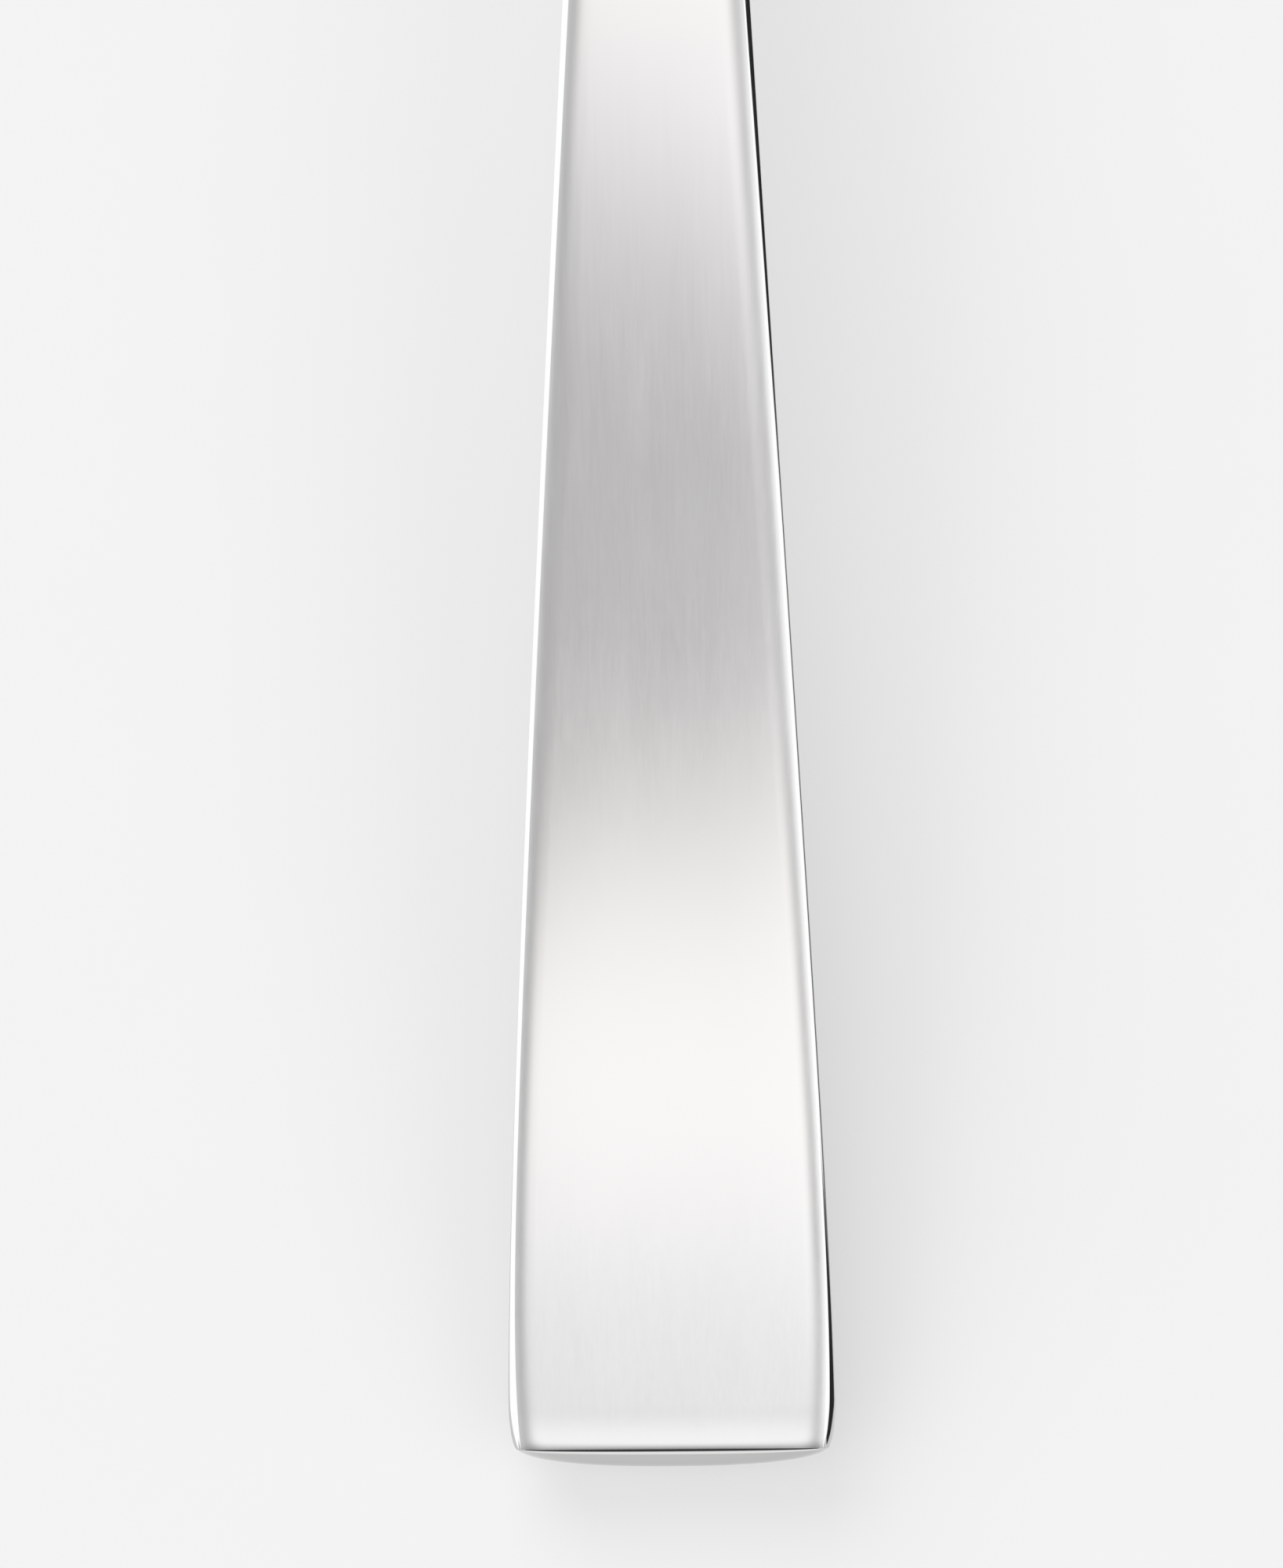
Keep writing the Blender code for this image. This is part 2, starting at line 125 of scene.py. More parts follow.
class Signal:
    """A shader value that Python's operators turn into Math nodes."""

    def __init__(self, bench: Bench, socket: NodeSocket) -> None:
        """Wrap a socket of a bench's node tree."""
        self.bench = bench
        self.socket = socket

    def __add__(self, other: Signal | float) -> Signal:
        """Return the sum."""
        return self.bench.maths("ADD", self, other)

    __radd__ = __add__

    def __sub__(self, other: Signal | float) -> Signal:
        """Return the difference."""
        return self.bench.maths("SUBTRACT", self, other)

    def __rsub__(self, other: float) -> Signal:
        """Return the difference from a number."""
        return self.bench.maths("SUBTRACT", other, self)

    def __mul__(self, other: Signal | float) -> Signal:
        """Return the product."""
        return self.bench.maths("MULTIPLY", self, other)

    __rmul__ = __mul__

    def __truediv__(self, other: Signal | float) -> Signal:
        """Return the quotient."""
        return self.bench.maths("DIVIDE", self, other)

    def __pow__(self, other: float) -> Signal:
        """Return the power."""
        return self.bench.maths("POWER", self, other)

    def __neg__(self) -> Signal:
        """Return the value with its sign turned."""
        return self * -1.0

    def __abs__(self) -> Signal:
        """Return the value without its sign."""
        return self.bench.maths("ABSOLUTE", self)

    def __gt__(self, other: float) -> Signal:
        """Return 1 where the value is over a number, 0 elsewhere."""
        return self.bench.maths("GREATER_THAN", self, other)

    def at_least(self, floor: Signal | float) -> Signal:
        """Return the higher of the value and a floor."""
        return self.bench.maths("MAXIMUM", self, floor)

    def at_most(self, top: float) -> Signal:
        """Return the lower of the value and a top."""
        return self.bench.maths("MINIMUM", self, top)

    def rise(self, band: Band) -> Signal:
        """Ramp the value smoothly.

        Args:
            band: Where the ramp starts and where it ends.

        Returns:
            0 up to the band and 1 past it, with a smooth step between.
        """
        sockets = {"Value": self, "From Min": band[0], "From Max": band[1]}
        made = self.bench.node("ShaderNodeMapRange", {"interpolation_type": "SMOOTHSTEP"}, sockets)
        return Signal(self.bench, made.outputs["Result"])

    def span(self, start: Band, stop: Band) -> Signal:
        """Return 1 past one band and short of another, with smooth ends."""
        return self.rise(start) * (1 - self.rise(stop))


def shade(tone: Signal | float, new: Signal | float, share: Signal) -> Signal:
    """Return a tone that goes over to a new one by a share."""
    return tone + (new - tone) * share


class Bench:
    """A node tree to build on."""

    def __init__(self, tree: NodeTree) -> None:
        """Take a tree and clear it."""
        self.tree = tree
        tree.nodes.clear()

    def node(
        self,
        kind: str,
        settings: dict[str, Any] | None = None,
        sockets: dict[str | int, Any] | None = None,
    ) -> Node:
        """Add a node.

        Args:
            kind: The node's type.
            settings: Its own settings, set first.
            sockets: Values or links of its inputs, by name or number.

        Returns:
            The new node.
        """
        made = self.tree.nodes.new(kind)
        for name, value in (settings or {}).items():
            setattr(made, name, value)
        for name, value in (sockets or {}).items():
            self.feed(made.inputs[name], value)
        return made

    def feed(self, socket: NodeSocket, value: Any) -> None:
        """Link or set one input.

        Args:
            socket: The input.
            value: A signal or a socket to link, or a plain value to set.
        """
        if isinstance(value, Signal):
            value = value.socket
        if isinstance(value, NodeSocket):
            self.tree.links.new(value, socket)
        else:
            socket.default_value = value

    def maths(self, operation: str, *operands: Signal | float) -> Signal:
        """Add a Math node.

        Args:
            operation: What the node works out.
            *operands: Values or signals, in the order of its inputs.

        Returns:
            Its result.
        """
        sockets = dict(enumerate(operands))
        made = self.node("ShaderNodeMath", {"operation": operation}, sockets)
        return Signal(self, made.outputs[0])

    def noise(self, size: float | Point, detail: float = 2.0) -> Signal:
        """Make noise on the piece's own coordinates.

        Args:
            size: Length of its cells, the same along each axis or one for each.
            detail: How many finer layers it has.

        Returns:
            Values about the middle of 0 to 1.
        """
        sizes = size if isinstance(size, tuple) else (size,) * 3
        here = self.node("ShaderNodeTexCoord").outputs["Object"]
        sockets = {0: here, 1: tuple(1 / length for length in sizes)}
        place = self.node("ShaderNodeVectorMath", {"operation": "MULTIPLY"}, sockets).outputs[0]
        sockets = {"Vector": place, "Scale": 1.0, "Detail": detail}
        return Signal(self, self.node("ShaderNodeTexNoise", None, sockets).outputs[0])

    def blend(self, factor: Signal, first: Colour | NodeSocket, second: Colour) -> NodeSocket:
        """Mix two colours.

        Args:
            factor: Share of the second, from 0 to 1.
            first: A colour or the socket of one.
            second: The other colour.

        Returns:
            The socket of the mixed colour.
        """
        start = first if isinstance(first, NodeSocket) else (*first, 1.0)
        sockets = {0: factor, 6: start, 7: (*second, 1.0)}
        return self.node("ShaderNodeMix", {"data_type": "RGBA"}, sockets).outputs[2]

    def either(self, share: Signal, first: Node, second: Node) -> NodeSocket:
        """Return a mix of two shaders, by the share of the second."""
        sockets = {0: share, 1: first.outputs[0], 2: second.outputs[0]}
        return self.node("ShaderNodeMixShader", None, sockets).outputs[0]

    def bump(self, height: Signal, depth: float, strength: float) -> NodeSocket:
        """Return a normal that is shaped by a height from 0 to 1 over a depth."""
        sockets = {"Height": height, "Distance": depth, "Strength": strength}
        return self.node("ShaderNodeBump", None, sockets).outputs[0]

    def plain_rays(self) -> Signal:
        """Find the rays that show the background itself.

        Returns:
            1 for rays from the camera, off a mirror or through glass, 0 for all others.
        """
        path = self.node("ShaderNodeLightPath").outputs
        names = "Is Camera Ray", "Is Glossy Ray", "Is Transmission Ray"
        seen, mirrored, through = (Signal(self, path[name]) for name in names)
        return seen.at_least(mirrored).at_least(through)

    def surface(self, sockets: dict[str | int, Any]) -> None:
        """End the tree in a Principled surface with these inputs."""
        shader = self.node("ShaderNodeBsdfPrincipled", None, sockets)
        self.node("ShaderNodeOutputMaterial", None, {"Surface": shader.outputs[0]})


@dataclass(frozen=True)
class Finish:
    """A finish whose pattern goes between two tones."""

    name: str
    dark: Colour
    light: Colour
    roughness: float

    def tones(self, bench: Bench, share: Signal) -> NodeSocket:
        """Return the colour at a share of the way from the dark tone to the light one."""
        return bench.blend(share, self.dark, self.light)

    def paint(self, bench: Bench) -> None:
        """Build the finish's own nodes."""
        raise NotImplementedError

    def material(self) -> Material:
        """Make the finish.

        Returns:
            A new material with the finish's own nodes.
        """
        material = bpy.data.materials.new(self.name)
        material.use_nodes = True
        self.paint(Bench(material.node_tree))
        return material


@dataclass(frozen=True)
class SatinSteel(Finish):
    """Steel brushed lengthwise to a satin that still mirrors broad shapes."""

    name: str = "satin_steel_brushed"
    dark: Colour = (0.680, 0.677, 0.678)
    light: Colour = (0.805, 0.801, 0.800)
    roughness: float = 0.17
    streak_roughness: float = 0.08
    cloud_roughness: float = 0.03
    band_width: float = 0.00160
    grain_width: float = 0.00030
    fine_width: float = 0.00012
    grain_length: float = 0.0220
    band_share: float = 0.35
    grain_share: float = 0.30
    fine_share: float = 0.35
    streak_colour: float = 0.6
    cloud_size: float = 0.0140
    grain_depth: float = 4e-7
    grain_strength: float = 0.6

    def paint(self, bench: Bench) -> None:
        """Build streaks of three widths over broad clouds.

        Args:
            bench: The bench of the new material.
        """
        band, grain, fine = (
            bench.noise((width, self.grain_length, width))
            for width in (self.band_width, self.grain_width, self.fine_width)
        )
        streak = band * self.band_share + grain * self.grain_share + fine * self.fine_share
        cloud = bench.noise(self.cloud_size)
        tone = streak * self.streak_colour + cloud * (1 - self.streak_colour)
        rough = self.roughness + (streak - NOISE_MIDDLE) * self.streak_roughness
        bench.surface({
            "Base Color": self.tones(bench, tone),
            "Metallic": 1.0,
            "Roughness": rough + (cloud - NOISE_MIDDLE) * self.cloud_roughness,
            "Normal": bench.bump(streak, self.grain_depth, self.grain_strength),
        })


@dataclass(frozen=True)
class PolishedSteel(Finish):
    """Mirror-polished steel with the faint hairlines of use."""

    name: str = "polished_steel_mirror"
    dark: Colour = (0.595, 0.593, 0.590)
    light: Colour = (0.645, 0.643, 0.640)
    roughness: float = 0.055
    hairline_width: float = 0.00018
    hairline_length: float = 0.0120
    hairline_band: Band = (0.62, 0.80)
    hairline_roughness: float = 0.03
    smudge_size: float = 0.0110
    smudge_band: Band = (0.45, 0.75)
    smudge_roughness: float = 0.03

    def paint(self, bench: Bench) -> None:
        """Build hairlines and smudges that dull the mirror.

        Args:
            bench: The bench of the new material.
        """
        size = self.hairline_width, self.hairline_length, self.hairline_width
        hairline = bench.noise(size, detail=3.0).rise(self.hairline_band) * self.hairline_roughness
        smudge = bench.noise(self.smudge_size, detail=3.0)
        haze = smudge.rise(self.smudge_band) * self.smudge_roughness
        bench.surface({
            "Base Color": self.tones(bench, smudge),
            "Metallic": 1.0,
            "Roughness": self.roughness + hairline + haze,
        })


@dataclass(frozen=True)
class ShadedPolishedSteel(PolishedSteel):
    """Polished steel of the handle's back and the blade, with painted shade: a darker copy of the face
    edge's polished steel, so that its reflections come out darker.
    """

    name: str = "polished_steel_shaded"
    dark: Colour = (0.545, 0.543, 0.540)
    light: Colour = (0.595, 0.593, 0.590)


@dataclass(frozen=True)
class BrazeAlloy(Finish):
    """Silver braze, frozen with a soft ripple."""

    name: str = "braze_alloy_frozen"
    dark: Colour = (0.62, 0.55, 0.42)
    light: Colour = (0.80, 0.75, 0.62)
    roughness: float = 0.30
    ripple_size: float = 0.0009
    ripple_roughness: float = 0.25
    ripple_depth: float = 0.00004
    ripple_strength: float = 0.6

    def paint(self, bench: Bench) -> None:
        """Build the ripple.

        Args:
            bench: The bench of the new material.
        """
        ripple = bench.noise(self.ripple_size, detail=4.0)
        bench.surface({
            "Base Color": self.tones(bench, ripple),
            "Metallic": 1.0,
            "Roughness": self.roughness + (ripple - NOISE_MIDDLE) * self.ripple_roughness,
            "Normal": bench.bump(ripple, self.ripple_depth, self.ripple_strength),
        })


@dataclass(frozen=True)
class CuredCement(Finish):
    """Matt handle cement with grit in it."""

    name: str = "cured_cement_gritty"
    dark: Colour = (0.34, 0.31, 0.27)
    light: Colour = (0.58, 0.55, 0.49)
    roughness: float = 0.85
    grit_size: float = 0.0004
    grit_share: float = 0.6
    grit_roughness: float = 0.12
    grit_depth: float = 0.00008
    grit_strength: float = 0.7
    patch_size: float = 0.0040

    def paint(self, bench: Bench) -> None:
        """Build grit over pale and dark patches.

        Args:
            bench: The bench of the new material.
        """
        grit = bench.noise(self.grit_size, detail=4.0)
        tone = grit * self.grit_share + bench.noise(self.patch_size) * (1 - self.grit_share)
        bench.surface({
            "Base Color": self.tones(bench, tone),
            "Roughness": self.roughness + grit * self.grit_roughness,
            "Normal": bench.bump(grit, self.grit_depth, self.grit_strength),
        })


@dataclass(frozen=True)
class PaleFloor(Finish):
    """Smooth pale board that the server lies on, a share of it as bright as a lit backdrop."""

    name: str = "pale_board"
    dark: Colour = (0.702, 0.702, 0.703)
    light: Colour = (0.726, 0.726, 0.727)
    roughness: float = 0.75
    patch_size: float = 0.0300
    patch_roughness: float = 0.10
    specular: float = 0.2
    glow: float = 0.89
    glow_share: float = 0.50

    def paint(self, bench: Bench) -> None:
        """Build the board, with the glow where it is seen or mirrored.

        Args:
            bench: The bench of the new material.
        """
        patch = bench.noise(self.patch_size, detail=3.0)
        board = bench.node("ShaderNodeBsdfPrincipled", None, {
            "Base Color": self.tones(bench, patch),
            "Roughness": self.roughness + patch * self.patch_roughness,
            "Specular IOR Level": self.specular,
        })
        glow = bench.node("ShaderNodeEmission", None, {"Strength": self.glow})
        mixed = bench.either(bench.plain_rays() * self.glow_share, board, glow)
        bench.node("ShaderNodeOutputMaterial", None, {"Surface": mixed})


def add_object(name: str, data: ID) -> Object:
    """Add an object to the scene.

    Args:
        name: The object's name.
        data: Its mesh, lamp or camera.

    Returns:
        The new object.
    """
    made = bpy.data.objects.new(name, data)
    bpy.context.scene.collection.objects.link(made)
    return made


class Skin:
    """The right half of a piece as grids of points, mirrored across X into one closed mesh."""

    WELD = 1e-7

    def __init__(self, name: str, shift: float) -> None:
        """Start a piece.

        Args:
            name: The piece's name.
            shift: What takes a station to its place along Y.
        """
        self.name = name
        self.shift = shift
        self.shape = bmesh.new()
        self.zone = self.shape.faces.layers.int.new("zone")

    def _corner(self, point: Point) -> bmesh.types.BMVert:
        """Return a new vertex at a point given by its station."""
        return self.shape.verts.new((point[0], point[1] + self.shift, point[2]))

    def _face(self, corners: Sequence[bmesh.types.BMVert], zone: Zone, finish: int) -> None:
        """Add one smooth face.

        Args:
            corners: Its vertices in order.
            zone: The surface that it belongs to.
            finish: The number of its material.
        """
        face = self.shape.faces.new(corners)
        face[self.zone] = zone.value
        face.material_index = finish
        face.smooth = True

    def grid(self, rows: Sequence[Row], zone: Zone, finish: int = 0) -> None:
        """Add a sheet of faces.

        Args:
            rows: Rows of points, all of one length.
            zone: The surface that the sheet belongs to.
            finish: The number of its material.
        """
        corners = [[self._corner(point) for point in row] for row in rows]
        for near, far in zip(corners, corners[1:]):
            for a, b, c, d in zip(near, near[1:], far[1:], far):
                self._face((a, b, c, d), zone, finish)

    def cap(self, loop: Row, zone: Zone, finish: int = 0) -> None:
        """Close a half loop of points with one face of a zone."""
        self._face([self._corner(point) for point in loop], zone, finish)

    def build(self, finishes: Sequence[Material], crisp: float) -> Object:
        """Mirror and close the piece.

        Args:
            finishes: Its materials, in the order of their numbers.
            crisp: The angle between two faces from which their edge is crisp.

        Returns:
            The finished object.
        """
        shape = self.shape
        bmesh.ops.remove_doubles(shape, verts=shape.verts, dist=self.WELD)
        bmesh.ops.dissolve_degenerate(shape, edges=shape.edges, dist=self.WELD)
        half = shape.verts[:] + shape.edges[:] + shape.faces[:]
        bmesh.ops.mirror(shape, geom=half, axis="X", merge_dist=self.WELD)
        bmesh.ops.recalc_face_normals(shape, faces=shape.faces)
        for edge in shape.edges:
            zones = {face[self.zone] for face in edge.link_faces}
            edge.smooth = len(zones) == 1 and edge.calc_face_angle(math.pi) < crisp
        shape.faces.layers.int.remove(self.zone)
        mesh = bpy.data.meshes.new(self.name)
        shape.to_mesh(mesh)
        shape.free()
        for material in finishes:
            mesh.materials.append(material)
        return add_object(self.name, mesh)


def stand_for(piece: Object, node: str) -> Object:
    """Let a piece ride on the frame in place of one of its nodes.

    Args:
        piece: The finished piece.
        node: The node that it stands for.

    Returns:
        The piece.
    """
    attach(piece, "root")
    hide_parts(node)
    return piece


@dataclass(frozen=True)
class HandleForm:
    """Plan, section and bow of the handle.

    Its length, depth and bow are those of the solids. Its sides and its edge lie up to 0.15 mm off
    theirs. The crown of the face, the break of its end edge and its wider roll there are too fine for
    the solids.
    """

    length: float = 0.1310
    mouth_width: float = 0.01104
    flare_width: float = 0.02574
    end_draw_in: float = 0.00071
    end_draw_run: float = 0.0140
    edge_width: float = 0.00031
    edge_end_gain: float = 0.0006
    edge_end_run: float = 0.0060
    edge_mouth_gain: float = 0.00025
    edge_mouth_run: float = 0.0400
    corner_run: float = 0.0040
    corner_strip: float = 0.00025
    end_lip: float = 0.0004
    end_bulge: float = 0.00145
    end_fullness: float = 2.4
    side_bulge: float = 0.00003
    side_end_bulge: float = 0.00006
    side_bulge_run: float = 0.0120
    mouth_depth: float = 0.0064
    end_depth: float = 0.0084
    seam_drop: float = 0.00085
    seat_gap: float = 0.0003
    pan_land: float = 0.0003
    swell_drop: float = 0.0021
    swell_run: float = 0.0040
    swell_tilt: float = math.radians(52)
    edge_tilt: float = math.radians(15)
    edge_turn: float = math.radians(44.2)
    lip_tilt: float = math.radians(34)
    lip_turn: float = math.radians(43)
    turn_power: float = 1.5
    roll_width: float = 0.0014
    roll_mouth_width: float = 0.0020
    roll_end_gain: float = 0.0005
    roll_end_run: float = 0.0080
    roll_slope: float = 0.19
    crown_width: float = 0.0060
    crown_slope: float = 0.02
    end_roll_run: float = 0.0032
    end_roll_depth: float = 0.0003
    break_slope: float = 0.15
    break_corner_slope: float = 0.10
    break_run: float = 0.0006
    break_corner_gain: float = 0.0006
    break_corner_reach: float = 0.0025
    nose_run: float = 0.0050
    nose_fullness: float = 2.2
    back_fullness: float = 2.3
    sheet: float = 0.0010
    face_sheet: float = 0.0012
    mouth_braze: float = 0.0004
    apex_at: float = 0.1050
    bow_radius: float = 0.4400
    heel_steps: int = 400
    heel_crowding: float = 2.0

    @property
    def mouth(self) -> float:
        """Station where the shells meet the braze of the mouth."""
        return self.length + self.seat_gap

    @property
    def shoulder(self) -> float:
        """Station of the neck's shoulder."""
        return self.length + self.mouth_braze + 2 * self.seat_gap

    @property
    def pan_rim(self) -> float:
        """Drop from the face to the rim of the lower shell's own solid."""
        return self.seam_drop + self.seat_gap

    @property
    def side_slope(self) -> float:
        """Half width gained for each metre along the straight sides."""
        return (self.mouth_width - self.flare_width) / 2 / self.length

    def body_half(self, station: float) -> float:
        """Return the half width of the body, with straight sides drawn in at the end."""
        straight = self.mouth_width / 2 + self.side_slope * (station - self.length)
        return straight - self.end_draw_in * math.exp(-station / self.end_draw_run)

    def edge_strip(self, station: float) -> float:
        """Find the width of the polished edge.

        Args:
            station: Where along the handle.

        Returns:
            The width in plan from the face's crease to the body's side.
        """
        at_end = self.edge_end_gain * math.exp(-station / self.edge_end_run)
        from_mouth = max(self.length - station, 0.0)
        at_mouth = self.edge_mouth_gain * math.exp(-from_mouth / self.edge_mouth_run)
        return self.edge_width + at_end + at_mouth

    def face_half(self, station: float) -> float:
        """Return the half width of the face between its creases."""
        return self.body_half(station) - self.edge_strip(station)

    def wall_half(self, station: float) -> float:
        """Find the half width of the wall.

        Args:
            station: Where along the handle.

        Returns:
            The body's half width, rounded in to the face's corner at the end.
        """
        lead = max(1 - station / self.corner_run, 0.0)
        round_in = self.edge_strip(0.0) - self.corner_strip
        return self.body_half(station) - round_in * (1 - math.sqrt(1 - lead * lead))

    def end_round(self, share: float) -> float:
        """Return how far the end stands out at a share of its half width, in shares of its middle."""
        return math.sqrt(1 - min(share, 1.0) ** self.end_fullness)

    def depth(self, station: float) -> float:
        """Return the depth from face to keel, without the rounding of the nose."""
        return lerp(self.end_depth, self.mouth_depth, station / self.length)

    def back_top(self, station: float) -> float:
        """Return how far below the face the back's rounding starts."""
        swell = self.swell_drop * math.exp(-station / self.swell_run)
        return self.pan_rim + self.pan_land + swell

    def back_depth(self, station: float, inset: float) -> float:
        """Find the depth of the back's rounding.

        Args:
            station: Where along the handle.
            inset: How far inside the back's outer side.

        Returns:
            The depth, run out to nothing at the nose.
        """
        lead = min(max(1 - (station - inset) / (self.nose_run - inset), 0.0), 1.0)
        nose = (1 - lead ** self.nose_fullness) ** (1 / self.nose_fullness)
        return (self.depth(station) - self.back_top(station) - inset) * nose

    def bow_drop(self, station: float) -> float:
        """Return how far the face's line lies below the top of its bow."""
        return (station - self.apex_at) ** 2 / (2 * self.bow_radius)

    @cached_property
    def apex_height(self) -> float:
        """Height of the bow's top, with the heel of the handle on the table."""
        places = [self.length * share for share in parts(self.heel_steps, self.heel_crowding)]
        return max(self.bow_drop(s) + self.back_top(s) + self.back_depth(s, 0.0) for s in places)

    def face_height(self, station: float) -> float:
        """Return the height of the face's line above the table."""
        return self.apex_height - self.bow_drop(station)

    def roll(self, station: float) -> float:
        """Find how wide the face rolls off.

        Args:
            station: Where along the handle.

        Returns:
            The width of the rolled margin, up to the crease.
        """
        share = min(station / self.length, 1.0)
        at_end = self.roll_end_gain * math.exp(-station / self.roll_end_run)
        return lerp(self.roll_width, self.roll_mouth_width, share) + at_end

    def face_drop(self, inward: float, station: float) -> float:
        """Find how far the face rolls off.

        Args:
            inward: Distance in from the crease.
            station: Distance from the end edge.

        Returns:
            The drop below the face's line.
        """
        width = self.roll(station)
        side = self.roll_slope * width / 2 * max(1 - inward / width, 0.0) ** 2
        side += self.crown_slope * self.crown_width / 2 * max(1 - inward / self.crown_width, 0.0) ** 2
        end = self.end_roll_depth * max(1 - station / self.end_roll_run, 0.0) ** 2
        corner = math.exp(-inward / self.break_corner_reach)
        run = self.break_run + self.break_corner_gain * corner
        slope = lerp(self.break_slope, self.break_corner_slope, corner)
        end += slope * run / 2 * max(1 - station / run, 0.0) ** 2
        return side + end

    def turn_fall(self, tilt: float, turn: float, share: float) -> float:
        """Find the fall of a surface that curves from one slope to another.

        Args:
            tilt: Its slope where it starts.
            turn: Its slope where it ends.
            share: Share of its width from the start.

        Returns:
            The fall, in widths.
        """
        gain = math.tan(turn) - math.tan(tilt)
        power = self.turn_power + 1
        return math.tan(turn) * share - gain * (1 - (1 - share) ** power) / power

    def edge_fall(self, share: float) -> float:
        """Return the fall of the polished edge at a share of its width, in widths."""
        return self.turn_fall(self.edge_tilt, self.edge_turn, share)

    def lip_fall(self, share: float) -> float:
        """Return the fall of the end's lip at a share of its width, in widths."""
        return self.turn_fall(self.lip_tilt, self.lip_turn, share)

    def wall_point(
        self, station: float, inset: float, share: float, drop: float, stand: float
    ) -> Point:
        """Find a point inside the wall.

        Args:
            station: Where along the handle.
            inset: How far inside the wall's outer side.
            share: Share of the half width.
            drop: How far below the face.
            stand: How far the end wall stands out past the end edge at its middle.

        Returns:
            The point, by its station.
        """
        fade = max(1 - (station - inset) / self.nose_run, 0.0) ** 2
        out = fade * stand * self.end_round(share)
        swell = (stand - self.end_lip) / (self.end_bulge - self.end_lip)
        bulge = self.side_bulge + self.side_end_bulge * math.exp(-station / self.side_bulge_run)
        x = share * (self.wall_half(station) + swell * bulge - inset)
        return x, station - out, self.face_height(station) - drop

    def back_profile(self, steps: int) -> list[tuple[float, float]]:
        """Return the shares of the back's section from its keel to its widest line."""
        return [superellipse(math.pi / 2 * (1 - s), self.back_fullness) for s in parts(steps)]


